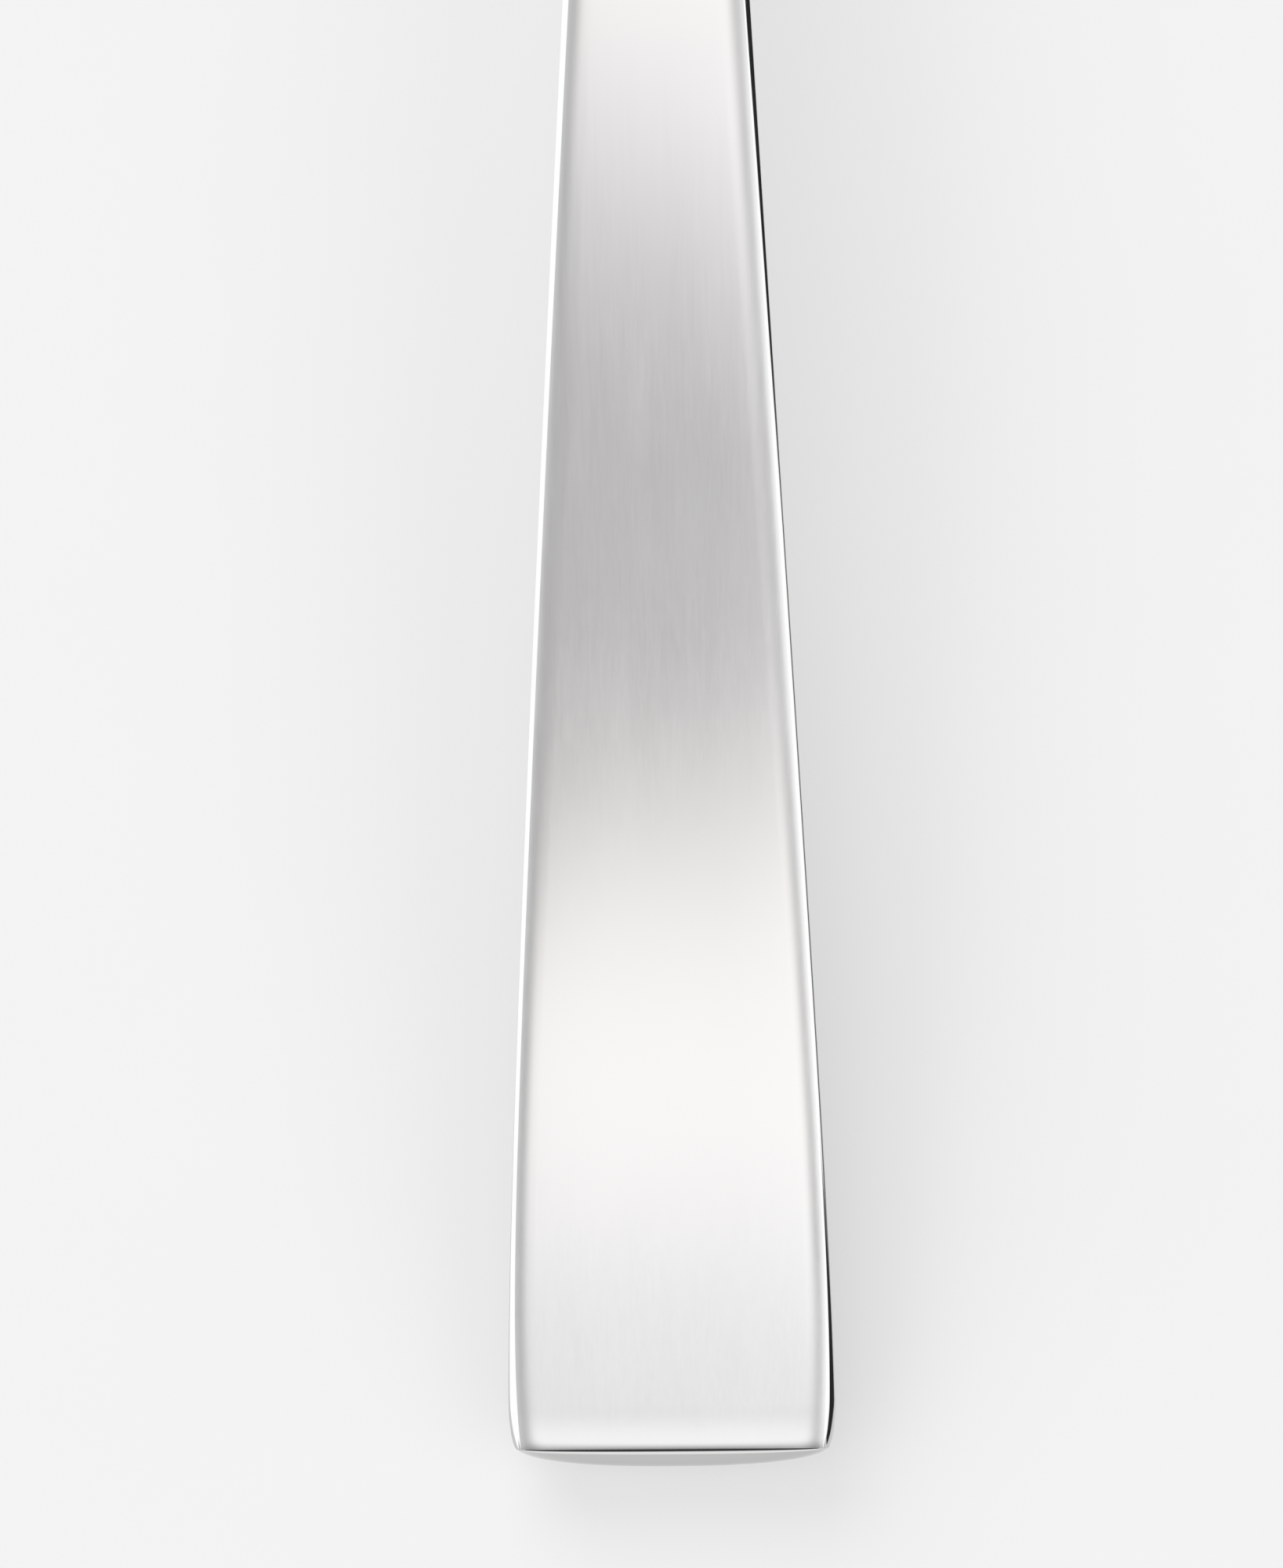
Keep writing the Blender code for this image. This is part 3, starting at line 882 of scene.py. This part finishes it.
@dataclass(frozen=True)
class Handle:
    """The two shells of the handle and the braze at its mouth."""

    form: HandleForm
    satin: Material
    polished: Material
    # The darker copy of the polished steel, which paints shade into the lower shell's reflections.
    shaded_polish: Material
    braze: Material
    shift: float
    steps: int = 110
    crowding: float = 2.2
    flat_columns: int = 8
    roll_columns: int = 10
    edge_steps: int = 10
    swell_steps: int = 8
    back_steps: int = 22
    crisp: float = math.radians(40)

    def stations(self, start: float) -> list[float]:
        """Return stations from a start to the mouth, crowded towards the end."""
        return [lerp(start, self.form.mouth, share) for share in parts(self.steps, self.crowding)]

    @property
    def back_widths(self) -> list[float]:
        """Width shares of the back's section from its keel to its widest line."""
        return [width for width, _ in self.form.back_profile(self.back_steps)]

    def columns(self, half: float, margin: float) -> list[float]:
        """Return places from the middle to a half width, closer over a margin at its side."""
        places = [(half - margin) * share for share in parts(self.flat_columns)]
        return places + [half - margin + margin * share for share in parts(self.roll_columns)[1:]]

    def face_rows(self) -> list[Row]:
        """Lay out the face.

        Returns:
            Rows from the end edge to the mouth, each from the middle to the crease.
        """
        form = self.form
        rows = []
        for station in self.stations(0.0):
            half, top = form.face_half(station), form.face_height(station)
            places = self.columns(half, form.roll(station))
            rows.append([(x, station, top - form.face_drop(half - x, station)) for x in places])
        return rows

    def flat_rows(self, inset: float, drop: float, shares: Sequence[float]) -> list[Row]:
        """Lay out a level surface inside the wall.

        Args:
            inset: How far inside the wall's outer side.
            drop: How far below the face.
            shares: Shares of the half width for the points of a row.

        Returns:
            Rows from the end to the mouth.
        """
        form = self.form
        rows = []
        for station in self.stations(inset):
            rows.append([form.wall_point(station, inset, s, drop, form.end_lip) for s in shares])
        return rows

    def back_rows(self, inset: float) -> list[Row]:
        """Lay out the rounded back.

        Args:
            inset: How far inside the back's outer side.

        Returns:
            Rows from the end to the mouth, each from the keel to the side.
        """
        form = self.form
        rows = []
        for station in self.stations(inset):
            top, deep = form.back_top(station), form.back_depth(station, inset)
            row = []
            for width, fall in form.back_profile(self.back_steps):
                row.append(form.wall_point(station, inset, width, top + deep * fall, form.end_bulge))
            rows.append(row)
        return rows

    def edge_ring(self, end_places: Sequence[float], share: float) -> Row:
        """Return a ring on the polished edge.

        Args:
            end_places: Places across the end edge, from the corner to the middle.
            share: Share of the edge's width, out from the crease.

        Returns:
            The ring along the side from the mouth, then along the end.
        """
        form = self.form
        ring = []
        for station in reversed(self.stations(0.0)):
            strip = form.wall_half(station) - form.face_half(station)
            level = form.face_drop(0.0, station) + strip * form.edge_fall(share)
            x = form.face_half(station) + share * strip
            ring.append((x, station, form.face_height(station) - level))
        half = form.face_half(0.0)
        for x in end_places:
            lip = form.end_lip * form.end_round(x / half)
            level = form.face_drop(half - x, 0.0) + lip * form.lip_fall(share)
            ring.append((x, -share * lip, form.face_height(0.0) - level))
        return ring

    def swell_ring(self, inset: float, share: float) -> Row:
        """Find a ring on the lower shell's wall.

        Args:
            inset: How far inside the wall's outer side.
            share: Share of the way from the rim down to the back's rounding.

        Returns:
            The ring along the side from the mouth, then along the end.
        """
        form = self.form
        angle = lerp(form.swell_tilt, math.pi / 2, share)
        out = (math.sin(angle) - math.sin(form.swell_tilt)) / (1 - math.sin(form.swell_tilt))
        fall = 1 - math.cos(angle) / math.cos(form.swell_tilt)
        stand = lerp(form.end_lip, form.end_bulge, out)
        rows = []
        for station in self.stations(inset):
            drop = lerp(form.pan_rim, form.back_top(station), fall)
            rows.append([form.wall_point(station, inset, w, drop, stand) for w in self.back_widths])
        return rim(rows)

    def face_shell(self) -> Object:
        """Build the upper shell: satin face, polished edge, and an underside that drops in.

        Returns:
            The shell, in place of its solid.
        """
        form = self.form
        inside = form.sheet + form.seat_gap
        top = self.face_rows()
        end_row = [point[0] for point in top[0]]
        shares = [x / end_row[-1] for x in end_row]
        edge = [rim(top)]
        edge += [self.edge_ring(end_row[-2::-1], share) for share in parts(self.edge_steps)[1:]]
        seam = rim(self.flat_rows(0.0, form.seam_drop, shares))
        under = self.flat_rows(inside, form.face_sheet, shares)
        step = rim(self.flat_rows(inside, form.seam_drop, shares))
        mouth = top[-1] + [ring[0] for ring in edge[1:]] + [seam[0], step[0]] + under[-1][::-1]
        finishes = self.satin, self.polished
        polished = finishes.index(self.polished)
        skin = Skin("handle_face_shell", self.shift)
        skin.grid(top, Zone.FACE)
        skin.grid(edge, Zone.EDGE, polished)
        skin.grid([edge[-1], seam], Zone.LAND, polished)
        skin.grid([seam, step, rim(under)], Zone.UNDER, polished)
        skin.grid(under, Zone.INNER, polished)
        skin.cap(mouth, Zone.MOUTH, polished)
        piece = skin.build(finishes, self.crisp)
        return stand_for(piece, "handle_face")

    def back_shell(self) -> Object:
        """Build the lower shell: a deep pan with a crowned back, brought up to the seam.

        Returns:
            The shell, in place of its solid.
        """
        form = self.form
        outer, inner = self.back_rows(0.0), self.back_rows(form.sheet)
        walls = []
        for inset in 0.0, form.sheet:
            wall = [self.swell_ring(inset, share) for share in reversed(parts(self.swell_steps))]
            walls.append(wall + [rim(self.flat_rows(inset, form.seam_drop, self.back_widths))])
        near, far = walls
        skin = Skin("handle_back_shell", self.shift)
        skin.grid(outer, Zone.FACE)
        skin.grid(near, Zone.FACE)
        skin.grid([near[-1], far[-1]], Zone.UNDER)
        skin.grid(far, Zone.INNER)
        skin.grid(inner, Zone.INNER)
        front = [outer[-1] + [ring[0] for ring in near[1:]]]
        front.append(inner[-1] + [ring[0] for ring in far[1:]])
        skin.grid(front, Zone.MOUTH)
        # The lower shell takes the darker copy of the polished steel: painted shade in its reflection of
        # the floor.
        piece = skin.build((self.shaded_polish,), self.crisp)
        return stand_for(piece, "handle_back")

    def section(self, station: float, half: float, top: float, thick: float) -> Row:
        """Return half a loop of the handle's section.

        Args:
            station: Where along the handle or the neck.
            half: Half width of the section.
            top: Height of its middle.
            thick: Its thickness.

        Returns:
            Points from the top middle round the side to the keel.
        """
        form = self.form
        strip = form.edge_strip(station)
        crease = half - strip
        squash = thick / form.depth(station)
        places = self.columns(crease, form.roll(station))
        rolled = form.face_drop(0.0, station)
        loop = [(x, station, top - form.face_drop(crease - x, station)) for x in places]
        for share in parts(self.edge_steps)[1:-1]:
            drop = rolled + strip * form.edge_fall(share)
            loop.append((crease + share * strip, station, top - drop * squash))
        widest = (rolled + strip * form.edge_fall(1.0)) * squash
        for width, fall in reversed(form.back_profile(self.back_steps)):
            loop.append((half * width, station, top - lerp(widest, thick, fall)))
        return loop

    def mouth_ring(self) -> Object:
        """Build the ring of braze between the shells and the neck, dressed flush.

        Returns:
            The ring, in place of its solid.
        """
        form = self.form
        loops = []
        for station in form.mouth, form.mouth + form.mouth_braze:
            sizes = form.body_half(station), form.face_height(station), form.depth(station)
            outer = self.section(station, *sizes)
            middle = (outer[0][2] + outer[-1][2]) / 2
            inner = []
            for x, y, z in outer:
                shrink = 1 - form.sheet / math.hypot(x, z - middle)
                inner.append((x * shrink, y, middle + (z - middle) * shrink))
            loops.append((outer, inner))
        (outer, inner), (far_outer, far_inner) = loops
        skin = Skin("mouth_braze_ring", self.shift)
        skin.grid([outer, far_outer], Zone.FACE)
        skin.grid([far_outer, far_inner], Zone.EDGE)
        skin.grid([far_inner, inner], Zone.INNER)
        skin.grid([inner, outer], Zone.MOUTH)
        return stand_for(skin.build((self.braze,), self.crisp), "mouth_braze")


@dataclass(frozen=True)
class Blade:
    """Blade, cranked neck and tang in one blank."""

    handle: Handle
    steel: Material
    neck_length: float = 0.0370
    waist_run: float = 0.0180
    waist_reach: float = 0.0180
    blade_length: float = 0.0980
    blade_width: float = 0.0580
    thickness: float = 0.0016
    edge: float = 0.0006
    bevel_width: float = 0.0030
    widest_at: float = 0.0250
    shoulder_reach: float = 0.0240
    side_reach: float = 0.0150
    tip_reach: float = 0.0120
    tang_length: float = 0.0500
    tang_taper: float = 0.0014
    tang_notches: int = 4
    notch_depth: float = 0.0006
    tang_squareness: float = 6.0
    cement_side: float = 0.0012
    cement_cover: float = 0.0004
    neck_steps: int = 12
    flare_steps: int = 40
    side_steps: int = 56
    tang_steps: int = 32
    tip_stop: float = 0.995
    tip_crowding: float = 1.6
    crisp: float = math.radians(14)

    @property
    def tip(self) -> float:
        """Station of the blade's tip."""
        return self.handle.form.shoulder + self.neck_length + self.blade_length

    @staticmethod
    def bezier(points: Sequence[tuple[float, float]], share: float) -> tuple[Vector, Vector]:
        """Work out a cubic curve in plan.

        Args:
            points: Its four control points, by station and half width.
            share: Share of the way along it.

        Returns:
            The point there and the tangent.
        """
        a, b, c, d = (Vector(point) for point in points)
        back = 1 - share
        place = a * back ** 3 + b * 3 * back ** 2 * share + c * 3 * back * share ** 2 + d * share ** 3
        tangent = (b - a) * back ** 2 + (c - b) * 2 * back * share + (d - c) * share ** 2
        return place, tangent

    def outline(self) -> list[tuple[float, float, float]]:
        """Lay out the neck and the blade in plan.

        Returns:
            Station, half width and edge lean from the shoulder to the tip.
        """
        form = self.handle.form
        waist_at, tip = form.shoulder + self.waist_run, self.tip
        widest = form.shoulder + self.neck_length + self.widest_at
        start = form.shoulder - form.seat_gap
        places = []
        for share in parts(self.neck_steps)[:-1]:
            station = lerp(start, waist_at, share)
            places.append((station, form.body_half(station), 1.0))
        waist, side = form.body_half(waist_at), self.blade_width / 2
        reach = self.waist_reach
        flare = [(waist_at, waist), (waist_at + reach, waist + form.side_slope * reach)]
        flare += [(widest - self.shoulder_reach, side), (widest, side)]
        rest = [(widest, side), (widest + self.side_reach, side), (tip, self.tip_reach), (tip, 0.0)]
        crowded = [1 - (1 - share) ** self.tip_crowding for share in parts(self.side_steps)[1:]]
        for curve, shares in (
            (flare, parts(self.flare_steps)),
            (rest, [self.tip_stop * share for share in crowded]),
        ):
            for share in shares:
                place, tangent = self.bezier(curve, share)
                places.append((place.x, place.y, tangent.x / tangent.length))
        return places

    def plate(self, station: float, half: float, lean: float) -> Row:
        """Return half a loop of the blade's flat section.

        Args:
            station: Where along the blade.
            half: Half width there.
            lean: How square the edge stands to the section.

        Returns:
            Points from the top middle round the edge to the underside's middle.
        """
        handle = self.handle
        margin = min(self.bevel_width / max(lean, Skin.WELD), half)
        rise = (self.thickness - self.edge) * min(half * lean / self.bevel_width, 1.0)
        loop = []
        for x in handle.columns(half, margin):
            loop.append((x, station, self.edge + rise * min((half - x) / margin, 1.0)))
        for share in parts(handle.edge_steps)[1:-1]:
            loop.append((half, station, self.edge * (1 - share)))
        return loop + [(half * width, station, 0.0) for width in reversed(handle.back_widths)]

    def loops(self) -> list[Row]:
        """Lay out the neck and the blade.

        Returns:
            Half loops from the shoulder to the line of the tip.
        """
        form = self.handle.form
        slope = (form.apex_at - form.shoulder) / form.bow_radius
        start = form.face_height(form.shoulder)
        loops = []
        for station, half, lean in self.outline():
            share = min((station - form.shoulder) / self.neck_length, 1.0)
            flat = ease(share)
            thick = lerp(form.depth(form.shoulder), self.thickness, flat)
            run = slope * self.neck_length * share * (1 - share) ** 2
            top = lerp(start, self.thickness, flat) + run
            round_loop = self.handle.section(station, half, top, thick)
            lift = top - self.thickness
            flat_loop = [(x, y, z + lift) for x, y, z in self.plate(station, half, lean)]
            loop = []
            for p, q in zip(round_loop, flat_loop):
                loop.append(tuple(lerp(a, b, flat) for a, b in zip(p, q)))
            loops.append(loop)
        return loops + [[(0.0, self.tip, min(z, self.edge)) for _, _, z in loops[-1]]]

    def tang_loop(self, count: int, share: float) -> Row:
        """Find half a loop of the scalloped tang.

        Args:
            count: How many points it has.
            share: Share of the way from the tang's tip to the shoulder.

        Returns:
            Points from the top middle round the side to the underside's middle.
        """
        form = self.handle.form
        inside = form.sheet + form.seat_gap
        under = form.face_sheet + form.seat_gap
        station = form.shoulder - self.tang_length * (1 - share) - form.seat_gap * share
        wide = form.mouth_width / 2 - inside - self.cement_side - form.seat_gap
        wide -= self.tang_taper * (1 - share) / 2
        wide -= self.notch_depth * math.sin(math.pi * self.tang_notches * share) ** 2
        high = (form.mouth_depth - under - inside) / 2 - self.cement_cover - form.seat_gap
        middle = form.face_height(station) - (form.face_sheet + form.depth(station) - form.sheet) / 2
        loop = []
        for step in parts(count - 1):
            angle = math.pi * (0.5 - step)
            across, up = superellipse(abs(angle), self.tang_squareness)
            loop.append((wide * across, station, middle + math.copysign(high * up, angle)))
        return loop

    def blank(self) -> Object:
        """Build the whole blank, with the tang inside the handle.

        Returns:
            The blank, in place of its solid.
        """
        body = self.loops()
        tang = [self.tang_loop(len(body[0]), share) for share in parts(self.tang_steps)]
        skin = Skin("server_blade_blank", self.handle.shift)
        skin.cap(tang[0], Zone.MOUTH)
        skin.grid(tang, Zone.INNER)
        skin.grid([tang[-1], body[0]], Zone.LAND)
        skin.grid(body, Zone.FACE)
        piece = skin.build((self.steel,), self.crisp)
        return stand_for(piece, "server_blade")


@dataclass(frozen=True)
class Filling:
    """What holds the handle together inside, with the shapes of its solids."""

    braze: Material
    cement: Material

    def dress(self) -> list[Object]:
        """Give the inner pieces their finishes.

        Returns:
            The pieces.
        """
        pieces = []
        for node, material in (("seam_braze", self.braze), ("tang_cement", self.cement)):
            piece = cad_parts[node]
            for slot in piece.material_slots:
                slot.material = material
            pieces.append(piece)
        return pieces


@dataclass(frozen=True)
class Bearing:
    """A direction in the room as shader values.

    Attributes:
        right: Its share to the right.
        polar: Degrees from straight up.
        across: Degrees to the right of the overhead sheet's middle.
        along: Degrees from straight up towards the end of the handle.
        turn: Run towards the end of the handle for each unit to either side.
        endward: Share of its level part that points to the end of the handle.
    """

    right: Signal
    polar: Signal
    across: Signal
    along: Signal
    turn: Signal
    endward: Signal


@dataclass(frozen=True)
class Room:
    """Soft studio light as brightness by direction, with angles in degrees.

    A broad sheet hangs overhead, faintly tinted, with a grey gap across it that is lighter on the
    right and a gap down each side. A tall card stands to the left and one to the right. A dark flag
    stands low on the right with a small grey card in front of it, and another flag past the end of
    the handle. Between them the room is dim above and as pale as its backdrop at the horizon.
    """

    WHITE: ClassVar[Colour] = (1.0, 1.0, 1.0)
    LEAST: ClassVar[float] = 1e-4

    warm: Colour = (1.0, 0.983, 0.970)
    cool: Colour = (1.0, 0.985, 0.995)
    cool_from: Band = (-6.0, 1.0)
    cool_to: Band = (10.5, 13.5)
    tint_to: Band = (20.5, 24.5)
    tint_beside: Band = (15.0, 20.0)
    ceiling: float = 0.45
    backdrop: float = 0.88
    horizon_at: Band = (62.0, 90.0)
    sheet_middle: float = -1.5
    sheet_from: Band = (-28.0, -13.0)
    back_sheet: float = 1.34
    gap: float = 0.586
    gap_lift: float = 0.11
    gap_from: Band = (-4.8, 5.1)
    gap_to: Band = (11.7, 19.0)
    gap_spread: float = 0.4
    spread_reach: float = 4.0
    front_sheet: float = 1.38
    front_fade: float = 1.00
    fade_at: Band = (22.2, 28.5)
    low_front: float = 1.25
    low_front_at: Band = (29.0, 46.0)
    left_gap: float = 0.55
    left_gap_at: Band = (9.0, 19.5)
    right_gap: float = 0.68
    right_gap_at: Band = (9.0, 17.5)
    card: float = 1.62
    left_card_at: Band = (23.0, 28.0)
    right_card_at: Band = (19.5, 25.5)
    card_from: Band = (-0.45, -0.22)
    card_to: Band = (2.60, 5.00)
    card_foot_at: Band = (66.0, 74.0)
    card_foot_from: Band = (0.92, 1.08)
    flag: float = 0.03
    right_flag_at: Band = (70.0, 75.0)
    right_flag_to: Band = (0.86, 1.02)
    right_flag_lift: float = 18.0
    right_flag_level: Band = (-0.16, -0.03)
    end_flag: float = 0.05
    end_flag_at: Band = (50.0, 68.0)
    end_flag_to: Band = (80.0, 85.0)
    end_flag_facing: Band = (0.92, 0.975)
    low_end: float = 1.22
    grey_card: float = 0.20
    grey_card_from: Band = (-0.045, 0.015)
    grey_card_to: Band = (0.215, 0.255)
    grey_card_lift: float = 10.0

    def bearing(self, bench: Bench) -> Bearing:
        """Take the direction that the world is seen in.

        Args:
            bench: The bench of the world.

        Returns:
            The direction, in the terms that the room is laid out by.
        """
        here = bench.node("ShaderNodeTexCoord").outputs["Generated"]
        split = bench.node("ShaderNodeSeparateXYZ", None, {0: here})
        x, y, z = (Signal(bench, socket) for socket in split.outputs)
        level = ((x * x + y * y) ** 0.5).at_least(self.LEAST)
        polar = bench.maths("ARCTAN2", level, z) * math.degrees(1)
        across, along = x * polar / level - self.sheet_middle, -y * polar / level
        return Bearing(x, polar, across, along, -y / abs(x).at_least(self.LEAST), -y / level)

    def sheet(self, look: Bearing) -> Signal:
        """Light the overhead sheet.

        Args:
            look: The direction.

        Returns:
            The brightness of the sheet and its gaps.
        """
        reach = self.spread_reach
        spread = look.across.at_least(-reach).at_most(reach) * self.gap_spread
        gap = self.gap + spread.at_least(0.0) * self.gap_lift
        tone = shade(self.back_sheet, gap, (look.along - spread).rise(self.gap_from))
        tone = shade(tone, self.front_sheet, (look.along + spread).rise(self.gap_to))
        tone = shade(tone, self.front_fade, (look.along - spread).rise(self.fade_at))
        tone = shade(tone, self.low_front, look.along.rise(self.low_front_at))
        tone = shade(tone, self.left_gap, (-look.across).rise(self.left_gap_at))
        return shade(tone, self.right_gap, look.across.rise(self.right_gap_at))

    def sides(self, look: Bearing, tone: Signal, room: Signal) -> Signal:
        """Put the cards at the left and the right over a tone.

        Args:
            look: The direction.
            tone: The brightness so far.
            room: The brightness of the bare room.

        Returns:
            The brightness with the cards.
        """
        foot = look.polar.rise(self.card_foot_at) * look.turn.rise(self.card_foot_from)
        card = shade(room, self.card, look.turn.span(self.card_from, self.card_to) * (1 - foot))
        tone = shade(tone, card, (-look.across).rise(self.left_card_at))
        return shade(tone, card, look.across.rise(self.right_card_at))

    def flags(self, look: Bearing, tone: Signal) -> Signal:
        """Put the dark flags and the grey card over a tone.

        Args:
            look: The direction.
            tone: The brightness so far.

        Returns:
            The brightness with the flags and that card.
        """
        grey = look.turn.span(self.grey_card_from, self.grey_card_to)
        lift = (1 - look.turn.rise(self.right_flag_level)) * self.right_flag_lift
        low = (look.polar + lift - grey * self.grey_card_lift).rise(self.right_flag_at)
        low = low * look.turn.span(self.card_from, self.right_flag_to) * (look.right > 0.0)
        tone = shade(tone, shade(self.flag, self.grey_card, grey), low)
        end = shade(self.end_flag, self.low_end, look.polar.rise(self.end_flag_to))
        facing = look.endward.rise(self.end_flag_facing)
        return shade(tone, end, look.polar.rise(self.end_flag_at) * facing)

    def tint(self, bench: Bench, look: Bearing) -> NodeSocket:
        """Tint the overhead sheet.

        Args:
            bench: The bench of the world.
            look: The direction.

        Returns:
            The faint tint of the sheet, white everywhere else.
        """
        cool = look.along.span(self.cool_from, self.cool_to)
        plain = look.along.rise(self.tint_to).at_least(abs(look.across).rise(self.tint_beside))
        return bench.blend(plain, bench.blend(cool, self.warm, self.cool), self.WHITE)

    def light(self) -> None:
        """Make the world of the scene, with a plain backdrop where the camera sees it."""
        world = bpy.data.worlds.new("soft_studio")
        world.use_nodes = True
        bench = Bench(world.node_tree)
        look = self.bearing(bench)
        room = shade(self.ceiling, self.backdrop, look.polar.rise(self.horizon_at))
        tone = shade(room, self.sheet(look), look.along.rise(self.sheet_from))
        tone = self.flags(look, self.sides(look, tone, room))
        sockets = {"Color": self.tint(bench, look), "Strength": tone}
        studio = bench.node("ShaderNodeBackground", None, sockets)
        sockets = {"Color": (*self.WHITE, 1.0), "Strength": self.backdrop}
        plain = bench.node("ShaderNodeBackground", None, sockets)
        seen = Signal(bench, bench.node("ShaderNodeLightPath").outputs["Is Camera Ray"])
        mixed = bench.either(seen, studio, plain)
        bench.node("ShaderNodeOutputWorld", None, {"Surface": mixed})
        bpy.context.scene.world = world


@dataclass(frozen=True)
class SoftLamp:
    """Broad lamp past the blade on the left that lights the floor and that the metal does not mirror."""

    place: Point = (-1.10, 2.60, 2.25)
    width: float = 3.00
    power: float = 84.6

    def light(self) -> None:
        """Add the lamp, aimed at the middle of the floor."""
        data = bpy.data.lights.new("soft_lamp", "AREA")
        data.shape, data.size, data.energy = "DISK", self.width, self.power
        lamp = add_object("soft_lamp", data)
        place = Vector(self.place)
        aim = place.to_track_quat("Z", "Y").to_matrix().to_4x4()
        lamp.matrix_world = Matrix.Translation(place) @ aim
        lamp.visible_glossy = False


@dataclass(frozen=True)
class Viewpoint:
    """Camera above the rear of the handle, as the photograph was taken."""

    station: float = 0.04949
    aside: float = -0.00165
    height: float = 0.0150
    lean: float = math.radians(1.5)
    roll: float = math.radians(-0.47)
    distance: float = 0.90
    frame_height: float = 0.1156
    sensor: float = 36.0
    clip: Band = (0.01, 20.0)

    def set_up(self, shift: float) -> None:
        """Add the camera and set it as the scene's own.

        Args:
            shift: What takes a station to its place along Y.
        """
        data = bpy.data.cameras.new("overhead_camera")
        data.sensor_width = self.sensor
        data.lens = self.sensor * self.distance / self.frame_height
        data.clip_start, data.clip_end = self.clip
        camera = add_object("overhead_camera", data)
        target = Vector((self.aside, self.station + shift, self.height))
        back = Vector((math.sin(self.lean), 0.0, math.cos(self.lean)))
        up = Vector((0.0, 1.0, 0.0))
        turn = Matrix((up.cross(back), up, back)).transposed()
        turn = turn @ Matrix.Rotation(self.roll, 3, "Z")
        camera.matrix_world = Matrix.Translation(target + back * self.distance) @ turn.to_4x4()
        bpy.context.scene.camera = camera


@dataclass(frozen=True)
class Studio:
    """Floor, light and camera."""

    room: Room
    lamp: SoftLamp
    view: Viewpoint
    floor: PaleFloor
    floor_half: float = 4.0

    def set_up(self, shift: float) -> None:
        """Build the studio round the server.

        Args:
            shift: What takes a station to its place along Y.
        """
        half = self.floor_half
        mesh = bpy.data.meshes.new("pale_floor")
        corners = [(-half, -half, 0.0), (half, -half, 0.0), (half, half, 0.0), (-half, half, 0.0)]
        mesh.from_pydata(corners, [], [(0, 1, 2, 3)])
        mesh.materials.append(self.floor.material())
        board = add_object("pale_floor", mesh)
        self.room.light()
        self.lamp.light()
        self.view.set_up(shift)
        bpy.context.scene.view_settings.view_transform = "Standard"


def main() -> None:
    """Dress the server and set up its studio."""
    logging.basicConfig(level=logging.INFO, format="%(name)s: %(message)s")
    form = HandleForm()
    shift = CAD_BOX[0].y + form.end_bulge
    # The third finish is a darker copy of the polished steel: painted shade for the lower shell and the
    # blade.
    finishes = SatinSteel(), PolishedSteel(), ShadedPolishedSteel(), BrazeAlloy(), CuredCement()
    satin, polished, shaded_polish, braze, cement = (finish.material() for finish in finishes)
    handle = Handle(form, satin, polished, shaded_polish, braze, shift)
    # The blade takes the same darker copy of the polished steel, with its painted shade.
    blade = Blade(handle, shaded_polish)
    for piece in (handle.face_shell(), handle.back_shell(), handle.mouth_ring(), blade.blank()):
        LOG.info("%s: %d faces", piece.name, len(piece.data.polygons))
    for piece in Filling(braze, cement).dress():
        LOG.info("%s: solid kept", piece.name)
    Studio(Room(), SoftLamp(), Viewpoint(), PaleFloor()).set_up(shift)


if __name__ == "__main__":
    main()
